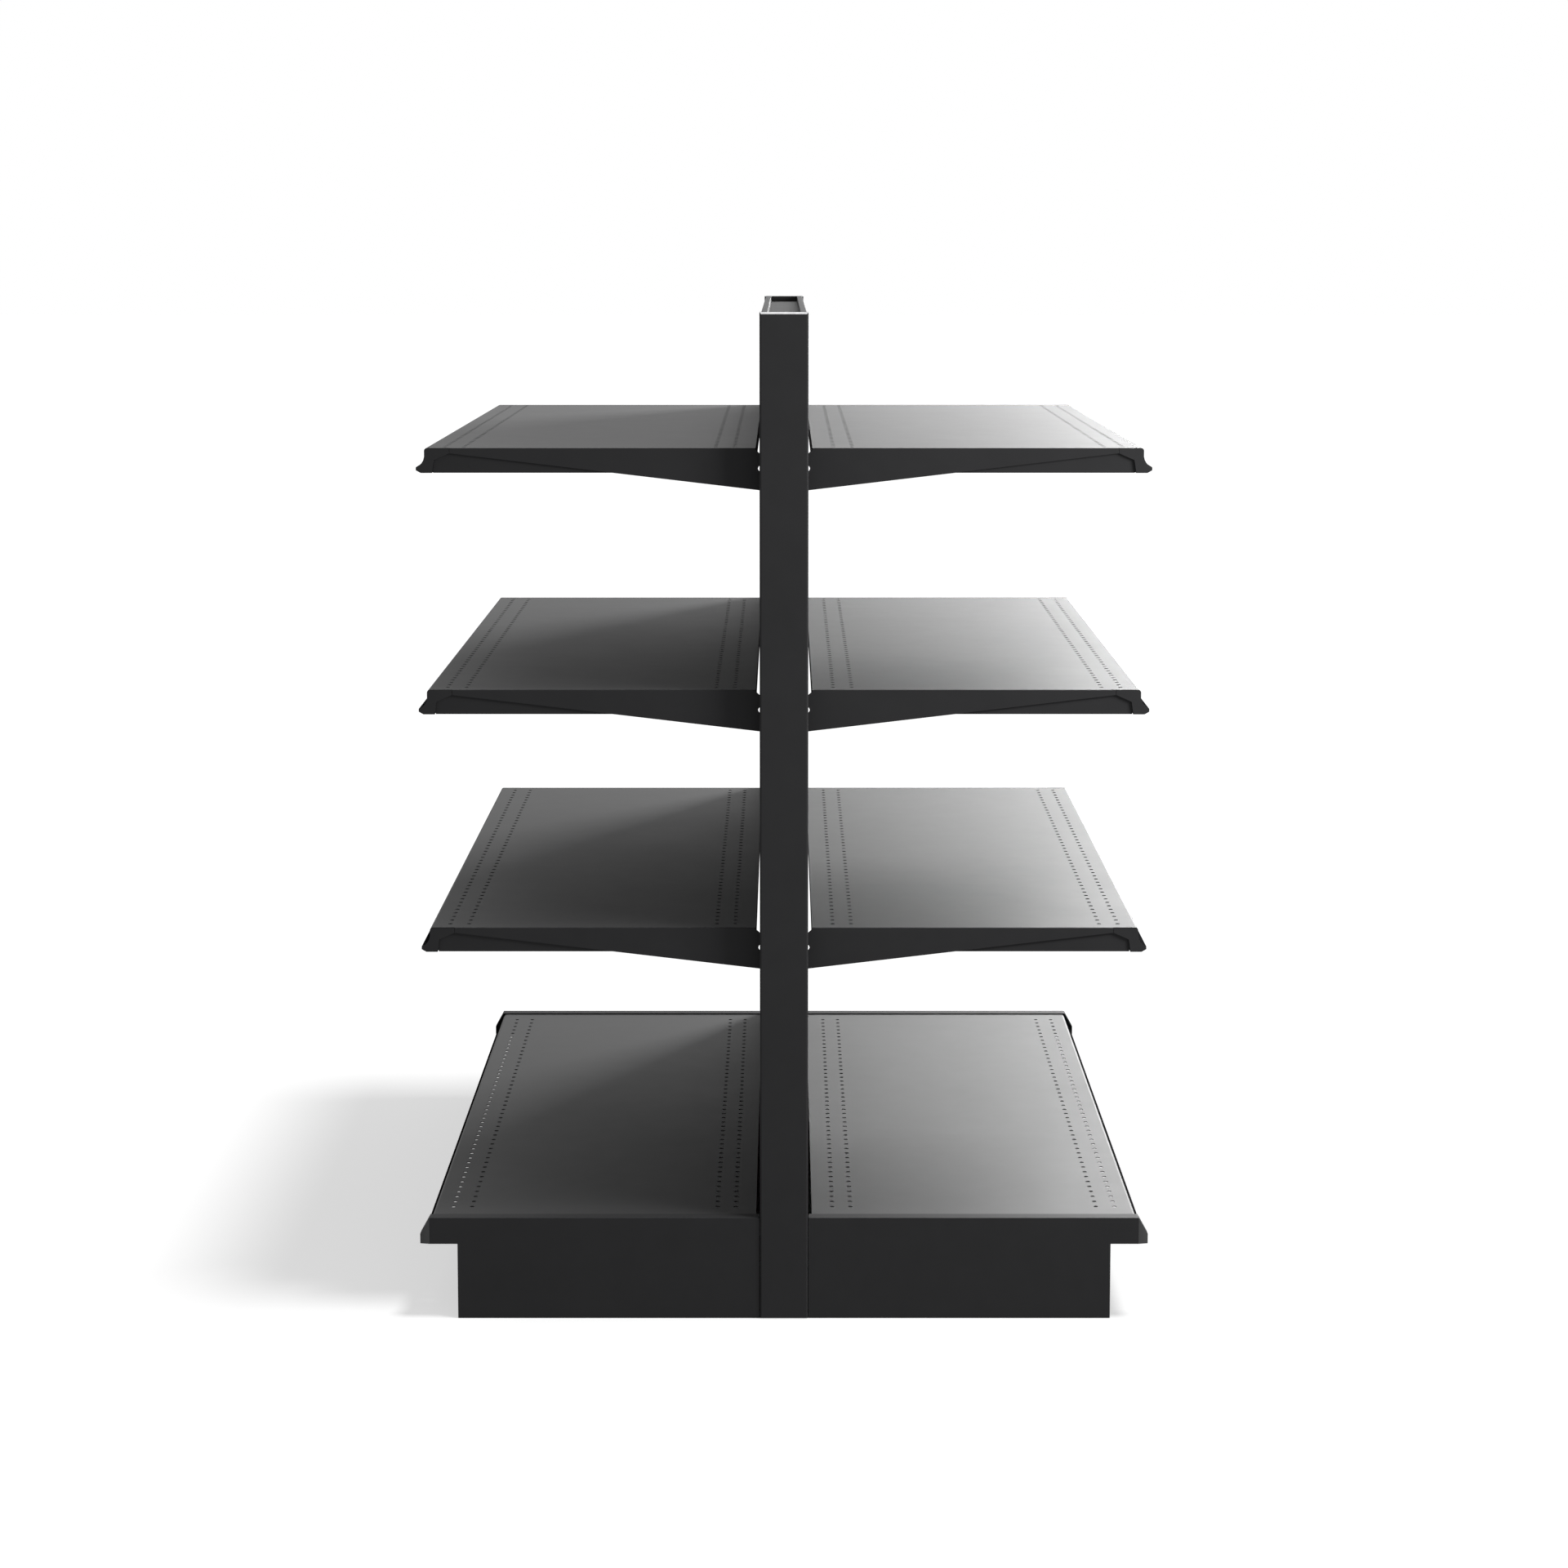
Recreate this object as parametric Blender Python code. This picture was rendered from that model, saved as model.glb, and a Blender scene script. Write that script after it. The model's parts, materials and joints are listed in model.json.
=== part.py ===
"""Double-sided gondola shelving: one free-standing bay with shelves on both sides.

Units are metres. X runs across the section, from the left shelves to the right ones, Y runs along the bay
from the near end to the far end, and Z is up from the floor. Each piece is drawn for the right-hand side
and turned half round for the left.
"""
import math

import bmesh
import bpy
from mathutils import Vector

# Fits and thicknesses
TOUCH_GAP = 0.0003
SHEET = 0.0012
PLATE = 0.003
FLOOR_LIFT = 0.0008

# Uprights: slotted steel tubes at the two ends of the bay
BAY_LENGTH = 1.2192
OVERALL_HEIGHT = 1.4942
UPRIGHT_DEPTH = 0.066
UPRIGHT_WIDTH = 0.0318
UPRIGHT_WALL = 0.002
SLOT_PITCH = 0.0254
SLOT_HEIGHT = 0.0195
SLOT_SIDE_CLEARANCE = 0.0006
SLOT_EDGE = 0.0009
SLOT_END_MARGIN = 0.030

# Shelves: steel pans with a price moulding along the front, hung on two end brackets
LOWEST_SHELF_TOP = 0.5846
SHELF_SPACING = 0.3556
SHELF_DEPTH = 0.4832
SHELF_THICKNESS = 0.0363
SHELF_REAR_GAP = 0.0084
REAR_FLANGE = 0.030
FRONT_ROUNDING = 0.004
FRONT_LIP = 0.0123
NOSE_REACH = 0.0123
NOSE_FLAT = 0.0045
NOSE_UNDERCUT = 0.0039
NOSE_UNDERCUT_DEPTH = 0.007
CHANNEL_RADIUS = 0.018
MOULDING_FOOT = 0.0114
MOULDING_KNEE = 0.0142
MOULDING_KNEE_DROP = 0.0177
MOULDING_ARM = 0.0366
SKIRT_GAP = 0.0012
SKIRT_LAP = 0.004

# Brackets: tapered plates with a hook above and a toe below
ARM_TIP = 0.0078
ARM_ROOT = 0.0619
BRACKET_SEAT = 0.0255
BRACKET_FACE_GAP = 0.0005
NECK_HEIGHT = 0.013
HOOK_THICKNESS = 0.006
HOOK_DROP = 0.0055
HOOK_GAP = 0.002
TOE_MARGIN = 0.003
TOE_REACH = 0.0015
REAR_CORNER = 0.0026
REAR_CHAMFER = 0.0068

# Base: shoes, levellers, kick plates and the end covers that cap the deck
# The shoes hang in one slot of the uprights, counted up from the lowest, which is slot 0
SHOE_SLOT = 1
BASE_HEIGHT = 0.1534
COVER_WALL = 0.0015
COVER_RETURN = 0.0206
COVER_CHAMFER = 0.003
COVER_NOSE_CLEARANCE = 0.0041
COVER_TOP_CLEARANCE = 0.0024
COVER_SLANT = 0.0253
COVER_TRIM_GAP = 0.0008
DECK_END_GAP = 0.0138
KICK_SETBACK = 0.0391
KICK_FLANGE = 0.021
LEVELLER_SETBACK = 0.045
LEVELLER_INSET = 0.020
LEVELLER_TAB = 0.034
LEVELLER_TAB_HEIGHT = 0.040
STEM_RADIUS = 0.005
STEM_ABOVE_TAB = 0.018
PAD_RADIUS = 0.015
PAD_HEIGHT = 0.007

# End trims, top rail and back panels
TRIM_WALL = 0.0022
TRIM_STANDOFF = 0.0265
TRIM_RETURN = 0.0215
TRIM_ROUNDING = 0.003
COVER_STEP = 0.0029
RAIL_SHEET = 0.0015
RAIL_CHANNEL = 0.0474
RAIL_CHANNEL_DEPTH = 0.0099
RAIL_SKIRT = 0.019
RAIL_LIP = 0.018
PANEL_THICKNESS = 0.005
PANEL_HEAD_GAP = 0.003
BOTTOM_RAIL_Z = 0.124

ARC_STEPS = 4
ROUND_SIDES = 20
OVERCUT = 0.01

# Places that follow from the sizes above
UPRIGHT_FACE = UPRIGHT_DEPTH / 2
SLOT_WIDTH = PLATE + 2 * SLOT_SIDE_CLEARANCE
SLOT_ROW_Y = BAY_LENGTH / 2 - UPRIGHT_WIDTH / 2 + UPRIGHT_WALL + SLOT_EDGE + SLOT_WIDTH / 2
SHELF_HALF = SLOT_ROW_Y + PLATE / 2
REAR_EDGE = UPRIGHT_FACE + SHELF_REAR_GAP
FRONT_EDGE = REAR_EDGE + SHELF_DEPTH
LOWEST_BEARING = LOWEST_SHELF_TOP - BRACKET_SEAT
HINGE_X = UPRIGHT_FACE - UPRIGHT_WALL / 2

TRIM_FACE_Y = BAY_LENGTH / 2 + TRIM_STANDOFF
TRIM_HALF_WIDTH = UPRIGHT_FACE + TOUCH_GAP + TRIM_WALL
COVER_FACE_Y = TRIM_FACE_Y - COVER_STEP
DECK_HALF = COVER_FACE_Y - DECK_END_GAP
DECK_TOP = BASE_HEIGHT - COVER_WALL - TOUCH_GAP
DECK_BOTTOM = DECK_TOP - SHELF_THICKNESS
KICK_FACE = FRONT_EDGE - KICK_SETBACK
SHOE_FRONT = KICK_FACE - KICK_FLANGE - TOUCH_GAP
SHOE_TOP = DECK_BOTTOM - TOUCH_GAP

RAIL_TOP = OVERALL_HEIGHT - TOUCH_GAP
UPRIGHT_TOP = RAIL_TOP - RAIL_SKIRT - TOUCH_GAP
PANEL_FACE = UPRIGHT_FACE - RAIL_SHEET - TOUCH_GAP
PANEL_HALF = BAY_LENGTH / 2 - UPRIGHT_WIDTH / 2 - TOUCH_GAP
PANEL_TOP = RAIL_TOP - RAIL_SHEET - PANEL_HEAD_GAP
PANEL_FOOT = BOTTOM_RAIL_Z + SHEET + TOUCH_GAP
CENTRE_RAIL_Z = (PANEL_FOOT + PANEL_TOP) / 2

SIDES = ("right", "left")
ENDS = ("near", "far")


def slot_heights():
    """Lower edges of the slots: a row at SLOT_PITCH through the lowest shelf's bearing."""
    below = math.floor((LOWEST_BEARING - SLOT_END_MARGIN) / SLOT_PITCH)
    first = LOWEST_BEARING - below * SLOT_PITCH
    room = UPRIGHT_TOP - SLOT_END_MARGIN - SLOT_HEIGHT - first
    return [first + step * SLOT_PITCH for step in range(math.floor(room / SLOT_PITCH) + 1)]


def shelf_bearings():
    """Slots that carry shelves, a whole number of pitches apart."""
    slots = slot_heights()
    lowest = round((LOWEST_BEARING - slots[0]) / SLOT_PITCH)
    return slots[lowest::round(SHELF_SPACING / SLOT_PITCH)]


# Outlines in two dimensions
def offset_path(path, distance):
    """The path moved sideways by a distance, to its right, with mitred corners."""
    points = [Vector(point) for point in path]
    rights = []
    for start, end in zip(points, points[1:]):
        along = (end - start).normalized()
        rights.append(Vector((along.y, -along.x)))
    moved = [points[0] + rights[0] * distance]
    for point, before, after in zip(points[1:-1], rights, rights[1:]):
        mitre = (before + after).normalized()
        moved.append(point + mitre * (distance / mitre.dot(before)))
    moved.append(points[-1] + rights[-1] * distance)
    return [tuple(point) for point in moved]


def sheet_outline(path, thickness):
    """Section of a bent sheet whose outer face follows the path, with its thickness to the right."""
    return list(path) + offset_path(path, thickness)[::-1]


def arc(centre, radius, start, end, steps=ARC_STEPS):
    """Points on an arc, angles in degrees, with both ends."""
    turn = [math.radians(start + (end - start) * step / steps) for step in range(steps + 1)]
    return [(centre[0] + radius * math.cos(a), centre[1] + radius * math.sin(a)) for a in turn]


def hollow_arc(start, end, radius, steps=ARC_STEPS):
    """Points of an arc from start to end that bows to the right of the chord."""
    chord = Vector(end) - Vector(start)
    middle = (Vector(start) + Vector(end)) / 2
    rise = math.sqrt(max(radius ** 2 - (chord.length / 2) ** 2, 0.0))
    left = Vector((-chord.y, chord.x)).normalized()
    centre = middle + left * rise
    first = math.degrees(math.atan2(start[1] - centre.y, start[0] - centre.x))
    last = math.degrees(math.atan2(end[1] - centre.y, end[0] - centre.x))
    if last < first:
        last += 360
    return arc(tuple(centre), radius, first, last, steps)


# Solids
def prism(outline, low, high, axis="Y"):
    """Closed solid of a flat outline, drawn out along X, Y or Z."""
    place = {
        "X": lambda a, b, c: (c, a, b),
        "Y": lambda a, b, c: (a, c, b),
        "Z": lambda a, b, c: (a, b, c),
    }[axis]
    solid = bmesh.new()
    bottom = [solid.verts.new(place(a, b, low)) for a, b in outline]
    top = [solid.verts.new(place(a, b, high)) for a, b in outline]
    solid.faces.new(bottom)
    solid.faces.new(top)
    for i in range(len(outline)):
        j = (i + 1) % len(outline)
        solid.faces.new((bottom[i], bottom[j], top[j], top[i]))
    bmesh.ops.recalc_face_normals(solid, faces=solid.faces)
    return solid


def box(x, y, z):
    """Block between pairs of limits."""
    return prism([(x[0], y[0]), (x[1], y[0]), (x[1], y[1]), (x[0], y[1])], z[0], z[1], "Z")


def cylinder(x, y, radius, low, high):
    """Upright round bar."""
    return prism(arc((x, y), radius, 0, 360, ROUND_SIDES)[:-1], low, high, "Z")


def mirror_y(solid):
    """The solid mirrored to the other end of the bay."""
    for vert in solid.verts:
        vert.co.y = -vert.co.y
    bmesh.ops.reverse_faces(solid, faces=solid.faces)
    return solid


def slice_off(solid, point, normal):
    """Cut the solid at a plane and close it, keeping what lies behind the plane."""
    everything = list(solid.verts) + list(solid.edges) + list(solid.faces)
    bmesh.ops.bisect_plane(solid, geom=everything, plane_co=point, plane_no=normal, clear_outer=True)
    rim = [edge for edge in solid.edges if edge.is_boundary]
    bmesh.ops.holes_fill(solid, edges=rim, sides=0)
    bmesh.ops.recalc_face_normals(solid, faces=solid.faces)
    return solid


def mesh_of(solid, name):
    """Mesh data from a solid, which is used up."""
    mesh = bpy.data.meshes.new(name)
    solid.to_mesh(mesh)
    solid.free()
    return mesh


def combine(solid, tools, operation):
    """The solid joined with, or cut by, each of the tools."""
    helpers = [bpy.data.objects.new("helper", mesh_of(part, "helper")) for part in [solid] + tools]
    for helper in helpers:
        bpy.context.collection.objects.link(helper)
    for helper in helpers[1:]:
        modifier = helpers[0].modifiers.new(operation, "BOOLEAN")
        modifier.operation = operation
        modifier.solver = "EXACT"
        modifier.object = helper
    graph = bpy.context.evaluated_depsgraph_get()
    baked = bpy.data.meshes.new_from_object(helpers[0].evaluated_get(graph))
    result = bmesh.new()
    result.from_mesh(baked)
    for data in [helper.data for helper in helpers] + [baked]:
        bpy.data.meshes.remove(data)
    return result


# Materials and placing
def coat(name, colour, roughness, metallic):
    """Principled material for one kind of piece."""
    material = bpy.data.materials.new(name)
    material.use_nodes = True
    shader = material.node_tree.nodes["Principled BSDF"]
    shader.inputs["Base Color"].default_value = (*colour, 1.0)
    shader.inputs["Roughness"].default_value = roughness
    shader.inputs["Metallic"].default_value = metallic
    return material


def guide(name, parent=None, place=(0, 0, 0), half_turn=False):
    """Empty that carries the pieces of one side or of one hinged shelf."""
    empty = bpy.data.objects.new(name, None)
    empty.location = place
    empty.rotation_euler.z = math.pi if half_turn else 0.0
    empty.parent = parent
    bpy.context.collection.objects.link(empty)
    return empty


def add_piece(name, mesh, material, parent=None, place=(0, 0, 0)):
    """One named piece; pieces of the same kind share their mesh."""
    if not mesh.materials:
        mesh.materials.append(material)
    piece = bpy.data.objects.new(name, mesh)
    piece.location = place
    piece.parent = parent
    bpy.context.collection.objects.link(piece)
    return piece


# Shelf pieces, with z measured from the shelf's top
def nose_path():
    """Visible front from the lip down to the moulding's foot."""
    lip = (FRONT_EDGE, -FRONT_LIP - TOUCH_GAP)
    flat_bottom = NOSE_UNDERCUT - SHELF_THICKNESS
    crest = (FRONT_EDGE + NOSE_REACH, flat_bottom + NOSE_FLAT)
    heel = (FRONT_EDGE + NOSE_REACH, flat_bottom)
    under = (FRONT_EDGE + NOSE_REACH - NOSE_UNDERCUT_DEPTH, -SHELF_THICKNESS)
    foot = (FRONT_EDGE - MOULDING_FOOT, -SHELF_THICKNESS)
    return hollow_arc(lip, crest, CHANNEL_RADIUS) + [heel, under, foot]


def moulding_back():
    """Rear edge of the moulding's end plates, from the foot up to the arm."""
    foot = (FRONT_EDGE - MOULDING_FOOT, -SHELF_THICKNESS)
    knee = (FRONT_EDGE - MOULDING_KNEE, -MOULDING_KNEE_DROP)
    arm = (FRONT_EDGE - MOULDING_ARM, -ARM_TIP)
    return [foot, knee, arm]


def front_corner():
    """Rounded top corner of the front, from the top face down to the lip's face."""
    return arc((FRONT_EDGE - FRONT_ROUNDING, -FRONT_ROUNDING), FRONT_ROUNDING, 90, 0)


def shelf_pan(half_length):
    """Folded top with its rear flange, front lip and end skirts."""
    half = half_length - PLATE - TOUCH_GAP
    path = [(REAR_EDGE, -REAR_FLANGE), (REAR_EDGE, 0)] + front_corner() + [(FRONT_EDGE, -FRONT_LIP)]
    folded = prism(sheet_outline(path, SHEET), -half, half)
    rear = REAR_EDGE + SHEET / 2
    foot = FRONT_EDGE - MOULDING_FOOT - SKIRT_GAP
    front = FRONT_EDGE - MOULDING_FOOT + SKIRT_LAP
    above_foot = SHEET + SKIRT_GAP - SHELF_THICKNESS
    skirt = [(rear, -SHEET / 2), (rear, -SHELF_THICKNESS), (foot, -SHELF_THICKNESS), (foot, above_foot),
             (front, above_foot), (front, -SHEET / 2)]
    skirts = [prism(skirt, half - SHEET, half), prism(skirt, -half, SHEET - half)]
    return combine(folded, skirts, "UNION")


def front_moulding(half_length):
    """Price moulding: a hollow-faced channel, open behind, with flat end plates."""
    front = front_corner() + nose_path()
    whole = prism([(FRONT_EDGE - MOULDING_ARM, 0)] + front + moulding_back()[1:], -half_length, half_length)
    inner = offset_path(nose_path(), SHEET)
    behind = FRONT_EDGE - MOULDING_ARM - OVERCUT
    ahead = FRONT_EDGE + OVERCUT
    lip_foot = -FRONT_LIP - TOUCH_GAP
    pocket = [(behind, OVERCUT), (ahead, OVERCUT), (ahead, lip_foot), (inner[0][0], lip_foot)] + inner[1:-1]
    pocket += [(behind, inner[-1][1])]
    half = half_length - PLATE
    return combine(whole, [prism(pocket, -half, half)], "DIFFERENCE")


def hook_edge():
    """Rear edge of a hanging plate, from above its hook down to its toe.

    Heights are measured from the bearing, the lower edge of the slot that the hook sits in.
    """
    face = UPRIGHT_FACE + BRACKET_FACE_GAP
    hook_front = UPRIGHT_FACE - UPRIGHT_WALL - HOOK_GAP
    hook_rear = hook_front - HOOK_THICKNESS
    toe_tip = UPRIGHT_FACE - UPRIGHT_WALL - TOE_REACH
    toe_top = SLOT_HEIGHT - SLOT_PITCH - TOE_MARGIN
    toe_bottom = TOE_MARGIN - SLOT_PITCH
    notch_radius = (TOUCH_GAP - toe_top) / 2
    notch = arc((face, TOUCH_GAP - notch_radius), notch_radius, 90, -90)
    hook = [(face, NECK_HEIGHT), (hook_rear, NECK_HEIGHT), (hook_rear, -HOOK_DROP),
            (hook_front, -HOOK_DROP), (hook_front, TOUCH_GAP)]
    toe = [(toe_tip, toe_top), (toe_tip, toe_bottom), (face, toe_bottom)]
    return hook + notch + toe


def shelf_bracket():
    """Tapered plate that hangs one end of a shelf in the slots."""
    face = UPRIGHT_FACE + BRACKET_FACE_GAP
    front = FRONT_EDGE - MOULDING_ARM - TOUCH_GAP
    top = [(front, 0), (REAR_EDGE, 0), (REAR_EDGE, -REAR_CORNER), (face, -REAR_CORNER - REAR_CHAMFER)]
    rear = [(x, z - BRACKET_SEAT) for x, z in hook_edge()]
    outline = top + rear + [(face, -ARM_ROOT), (front, -ARM_TIP)]
    return prism(outline, -PLATE / 2, PLATE / 2)


def build_shelf(name, frame, bearing, half_turn, meshes, coats):
    """One shelf on its hinge guide: pan, moulding and a bracket at each end."""
    hinge = guide(f"hinge_{name}", frame, (HINGE_X, 0, bearing))
    seat = (-HINGE_X, 0, BRACKET_SEAT)
    add_piece(f"{name}_pan", meshes["pan"], coats["shelf"], hinge, seat)
    add_piece(f"{name}_moulding", meshes["moulding"], coats["moulding"], hinge, seat)
    for end in ENDS:
        toward_far = (end == "far") != half_turn
        place = (-HINGE_X, SLOT_ROW_Y if toward_far else -SLOT_ROW_Y, BRACKET_SEAT)
        add_piece(f"{name}_bracket_{end}", meshes["bracket"], coats["bracket"], hinge, place)


# Frame pieces, drawn at the far end where an end is needed
def upright():
    """Rectangular tube with a row of slots through both of its broad faces."""
    middle = BAY_LENGTH / 2
    outer_y = (middle - UPRIGHT_WIDTH / 2, middle + UPRIGHT_WIDTH / 2)
    inner_y = (outer_y[0] + UPRIGHT_WALL, outer_y[1] - UPRIGHT_WALL)
    inner_x = UPRIGHT_FACE - UPRIGHT_WALL
    tube = box((-UPRIGHT_FACE, UPRIGHT_FACE), outer_y, (0, UPRIGHT_TOP))
    bore = box((-inner_x, inner_x), inner_y, (-OVERCUT, UPRIGHT_TOP + OVERCUT))
    slots = bmesh.new()
    reach = UPRIGHT_FACE + OVERCUT
    width = (SLOT_ROW_Y - SLOT_WIDTH / 2, SLOT_ROW_Y + SLOT_WIDTH / 2)
    for height in slot_heights():
        slot = mesh_of(box((-reach, reach), width, (height, height + SLOT_HEIGHT)), "slot")
        slots.from_mesh(slot)
        bpy.data.meshes.remove(slot)
    return combine(tube, [bore, slots], "DIFFERENCE")


def end_trim():
    """Channel that clips over an upright and closes the end of the run."""
    back = TRIM_FACE_Y - TRIM_RETURN
    corner_y = TRIM_FACE_Y - TRIM_ROUNDING
    corner_x = TRIM_HALF_WIDTH - TRIM_ROUNDING
    path = [(-TRIM_HALF_WIDTH, back)]
    path += arc((-corner_x, corner_y), TRIM_ROUNDING, 180, 90)
    path += arc((corner_x, corner_y), TRIM_ROUNDING, 90, 0)
    path += [(TRIM_HALF_WIDTH, back)]
    return prism(sheet_outline(path, TRIM_WALL), FLOOR_LIFT, OVERALL_HEIGHT, "Z")


def top_rail():
    """Folded rail on top of both uprights, with a channel along its middle."""
    channel = RAIL_CHANNEL / 2
    floor = RAIL_TOP - RAIL_CHANNEL_DEPTH
    right = [(channel, floor), (channel, RAIL_TOP), (UPRIGHT_FACE, RAIL_TOP)]
    right += [(UPRIGHT_FACE, RAIL_TOP - RAIL_SKIRT)]
    left = [(-x, z) for x, z in reversed(right)]
    half = TRIM_FACE_Y - TRIM_WALL - TOUCH_GAP
    return prism(sheet_outline(left + right, RAIL_SHEET), -half, half)


def panel_groove():
    """Outer and inner limits across X of the rails that hold a back panel's edge."""
    outer = PANEL_FACE + TOUCH_GAP + SHEET
    inner = PANEL_FACE - PANEL_THICKNESS - TOUCH_GAP - SHEET
    return outer, inner


def bottom_rail():
    """Channel that the lower back panel stands in."""
    outer, inner = panel_groove()
    lip = BOTTOM_RAIL_Z + RAIL_LIP
    path = [(outer, lip), (outer, BOTTOM_RAIL_Z), (inner, BOTTOM_RAIL_Z), (inner, lip)]
    return prism(sheet_outline(path, SHEET), -PANEL_HALF, PANEL_HALF)


def centre_rail():
    """H-shaped rail between the lower and the upper back panel."""
    outer, inner = panel_groove()
    low, high = CENTRE_RAIL_Z - RAIL_LIP / 2, CENTRE_RAIL_Z + RAIL_LIP / 2
    under, over = CENTRE_RAIL_Z - SHEET / 2, CENTRE_RAIL_Z + SHEET / 2
    right = [(outer - SHEET, under), (outer - SHEET, low), (outer, low), (outer, high), (outer - SHEET, high),
             (outer - SHEET, over)]
    left = [(inner + SHEET, over), (inner + SHEET, high), (inner, high), (inner, low), (inner + SHEET, low),
            (inner + SHEET, under)]
    return prism(right + left, -PANEL_HALF, PANEL_HALF)


def back_panel(low, high):
    """Flat board between the uprights."""
    return box((PANEL_FACE - PANEL_THICKNESS, PANEL_FACE), (-PANEL_HALF, PANEL_HALF), (low, high))


def leveller_place():
    """Axis of the levelling screw of the far shoe."""
    return SHOE_FRONT - LEVELLER_SETBACK, SLOT_ROW_Y - PLATE / 2 - LEVELLER_INSET


def base_shoe():
    """Hooked channel that carries the deck on its ledge, with a tab for its levelling screw."""
    face = UPRIGHT_FACE + BRACKET_FACE_GAP
    bearing = slot_heights()[SHOE_SLOT]
    rear = [(x, z + bearing) for x, z in hook_edge()]
    plate_y = (SLOT_ROW_Y - PLATE / 2, SLOT_ROW_Y + PLATE / 2)
    plate = prism([(SHOE_FRONT, SHOE_TOP), (face, SHOE_TOP)] + rear + [(face, 0), (SHOE_FRONT, 0)], *plate_y)
    flange_x = (REAR_EDGE, SHOE_FRONT)
    flange_y = (SLOT_ROW_Y, DECK_HALF - TOUCH_GAP)
    ledge = box(flange_x, flange_y, (SHOE_TOP - PLATE, SHOE_TOP))
    foot = box(flange_x, flange_y, (0, PLATE))
    screw_x, screw_y = leveller_place()
    tab_x = (screw_x - LEVELLER_TAB / 2, screw_x + LEVELLER_TAB / 2)
    tab_y = (screw_y - LEVELLER_TAB / 2, SLOT_ROW_Y)
    tab = box(tab_x, tab_y, (LEVELLER_TAB_HEIGHT, LEVELLER_TAB_HEIGHT + PLATE))
    hole_ends = (LEVELLER_TAB_HEIGHT - OVERCUT, LEVELLER_TAB_HEIGHT + PLATE + OVERCUT)
    hole = cylinder(screw_x, screw_y, STEM_RADIUS + TOUCH_GAP, *hole_ends)
    return combine(combine(plate, [ledge, foot, tab], "UNION"), [hole], "DIFFERENCE")


def leveller():
    """Levelling screw on its own axis: a round pad under a threaded stem."""
    pad_top = FLOOR_LIFT + PAD_HEIGHT
    stem_top = LEVELLER_TAB_HEIGHT + PLATE + STEM_ABOVE_TAB
    pad = cylinder(0, 0, PAD_RADIUS, FLOOR_LIFT, pad_top)
    stem = cylinder(0, 0, STEM_RADIUS, pad_top - PAD_HEIGHT / 2, stem_top)
    return combine(pad, [stem], "UNION")


def kick_plate():
    """Folded plate that closes the front of the base."""
    top = SHOE_TOP
    path = [(KICK_FACE - KICK_FLANGE, top), (KICK_FACE, top), (KICK_FACE, FLOOR_LIFT),
            (KICK_FACE - KICK_FLANGE, FLOOR_LIFT)]
    half = COVER_FACE_Y - COVER_RETURN - TOUCH_GAP
    return prism(sheet_outline(path, SHEET), -half, half)


def end_cover():
    """Tray that closes one end of the base and caps the deck, with its nose cut back at the corner."""
    rear = TRIM_HALF_WIDTH + COVER_TRIM_GAP
    nose = FRONT_EDGE + NOSE_REACH + COVER_NOSE_CLEARANCE
    top_front = FRONT_EDGE + COVER_TOP_CLEARANCE
    nose_foot = DECK_BOTTOM - TOUCH_GAP - COVER_WALL
    path = [(rear, BASE_HEIGHT), (top_front, BASE_HEIGHT), (nose, BASE_HEIGHT - COVER_SLANT)]
    path += [(nose, nose_foot), (KICK_FACE, nose_foot), (KICK_FACE, FLOOR_LIFT)]
    inner = offset_path(path, COVER_WALL)
    hollow = [(rear - OVERCUT, inner[0][1])] + inner[1:-1]
    hollow += [(inner[-1][0], FLOOR_LIFT - OVERCUT), (rear - OVERCUT, FLOOR_LIFT - OVERCUT)]
    back = COVER_FACE_Y - COVER_RETURN
    tray = prism(path + [(rear, FLOOR_LIFT)], back, COVER_FACE_Y)
    core = prism(hollow, back - OVERCUT, COVER_FACE_Y - COVER_WALL)
    cut_normal = Vector((COVER_CHAMFER, nose - top_front, 0)).normalized()
    cut_point = Vector((top_front, COVER_FACE_Y, 0))
    slice_off(tray, cut_point, cut_normal)
    slice_off(core, cut_point - cut_normal * COVER_WALL, cut_normal)
    return combine(tray, [core], "DIFFERENCE")


def build_base(side, frame, half_turn, meshes, coats):
    """Deck, kick plate, shoes, levellers and end covers of one side."""
    deck_place = (0, 0, DECK_TOP)
    add_piece(f"base_deck_{side}", meshes["deck"], coats["shelf"], frame, deck_place)
    add_piece(f"base_moulding_{side}", meshes["deck_moulding"], coats["moulding"], frame, deck_place)
    add_piece(f"kick_plate_{side}", meshes["kick"], coats["kick"], frame)
    screw_x, screw_y = leveller_place()
    for end in ENDS:
        toward = "far" if (end == "far") != half_turn else "near"
        add_piece(f"base_shoe_{side}_{end}", meshes[f"shoe_{toward}"], coats["shoe"], frame)
        add_piece(f"base_end_cover_{side}_{end}", meshes[f"cover_{toward}"], coats["cover"], frame)
        place = (screw_x, screw_y if toward == "far" else -screw_y, 0)
        add_piece(f"leveller_{side}_{end}", meshes["leveller"], coats["leveller"], frame, place)


def build_back(side, frame, meshes, coats):
    """Back panels of one side and the rails that hold them."""
    add_piece(f"bottom_rail_{side}", meshes["bottom_rail"], coats["rail"], frame)
    add_piece(f"centre_rail_{side}", meshes["centre_rail"], coats["rail"], frame)
    add_piece(f"back_panel_{side}_lower", meshes["panel_lower"], coats["panel"], frame)
    add_piece(f"back_panel_{side}_upper", meshes["panel_upper"], coats["panel"], frame)


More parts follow.
